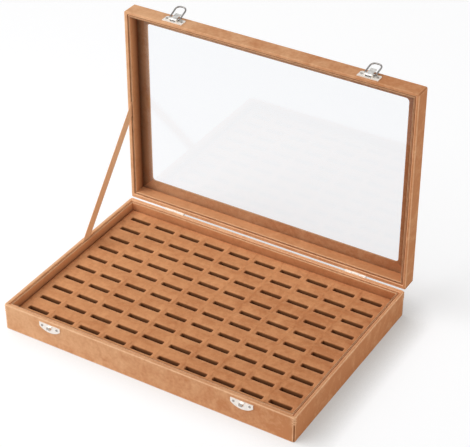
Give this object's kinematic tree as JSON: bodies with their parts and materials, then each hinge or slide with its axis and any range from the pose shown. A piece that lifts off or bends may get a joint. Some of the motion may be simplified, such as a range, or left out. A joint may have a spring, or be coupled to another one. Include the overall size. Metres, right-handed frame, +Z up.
{
  "type": "ring display box",
  "caption": "Shallow plush-covered case with a slotted ring pad and a hinged glazed lid, closed by wire-loop latches and stopped by a ribbon strap.",
  "frame": {"origin": "middle of the underside of the case, on the table", "axes": "+X to the right along the hinge, +Y to the back, where the hinges are, +Z up"},
  "size_m": [0.35, 0.269, 0.2801],
  "materials": {
    "plush_outside": "short-nap camel plush wrapped over board",
    "plush_inside": "short-nap camel plush on the liner boards",
    "plush_pad": "short-nap camel plush over slotted foam",
    "ribbon": "flat woven ribbon in the same camel colour",
    "card": "plain greyboard",
    "nickel": "bright nickel-plated sheet and wire",
    "glass": "clear flat glass"
  },
  "bodies": {
    "case": {"case_front_wall": "plush_outside", "case_back_wall": "plush_outside", "case_left_wall": "plush_outside", "case_right_wall": "plush_outside", "case_bottom": "plush_inside", "case_front_liner": "plush_inside", "case_back_liner": "plush_inside", "case_left_liner": "plush_inside", "case_right_liner": "plush_inside", "pad_board": "card", "pad_strips": "plush_pad", "pad_dividers": "plush_pad", "left_keeper": "nickel", "right_keeper": "nickel", "keeper_nails": "nickel", "left_hinge_case_leaf": "nickel", "right_hinge_case_leaf": "nickel", "hinge_pins": "nickel", "case_hinge_screws": "nickel", "support_strap": "ribbon"},
    "lid": {"lid_front_rail": "plush_outside", "lid_back_rail": "plush_outside", "lid_left_rail": "plush_outside", "lid_right_rail": "plush_outside", "window_front_strip": "plush_outside", "window_back_strip": "plush_outside", "window_left_strip": "plush_outside", "window_right_strip": "plush_outside", "glass_pane": "glass", "lid_front_liner": "plush_inside", "lid_back_liner": "plush_inside", "lid_left_liner": "plush_inside", "lid_right_liner": "plush_inside", "left_hinge_lid_leaf": "nickel", "right_hinge_lid_leaf": "nickel", "lid_hinge_screws": "nickel", "left_latch_plate": "nickel", "right_latch_plate": "nickel", "latch_nails": "nickel", "left_lever_pin": "nickel", "right_lever_pin": "nickel"},
    "left_lever": {"left_latch_lever": "nickel"},
    "left_loop": {"left_latch_loop": "nickel"},
    "right_lever": {"right_latch_lever": "nickel"},
    "right_loop": {"right_latch_loop": "nickel"}
  },
  "joints": [
    {"name": "lid_hinge", "type": "hinge", "parent": "case", "child": "lid", "pos_m": [0, 0.1203, 0.0312], "axis": [1, 0, 0], "range_deg": [0, 90], "deforming": ["support_strap"]},
    {"name": "left_lever_pivot", "type": "hinge", "parent": "lid", "child": "left_lever", "pos_m": [-0.116, 0.1265, 0.2724], "axis": [-1, 0, 0], "range_deg": [-120, 0]},
    {"name": "left_loop_pivot", "type": "hinge", "parent": "left_lever", "child": "left_loop", "pos_m": [-0.116, 0.1295, 0.27235], "axis": [1, 0, 0], "range_deg": [-24, 157.7]},
    {"name": "right_lever_pivot", "type": "hinge", "parent": "lid", "child": "right_lever", "pos_m": [0.116, 0.1265, 0.2724], "axis": [-1, 0, 0], "range_deg": [-120, 0]},
    {"name": "right_loop_pivot", "type": "hinge", "parent": "right_lever", "child": "right_loop", "pos_m": [0.116, 0.1295, 0.27235], "axis": [1, 0, 0], "range_deg": [-12, 169.7]}
  ]
}
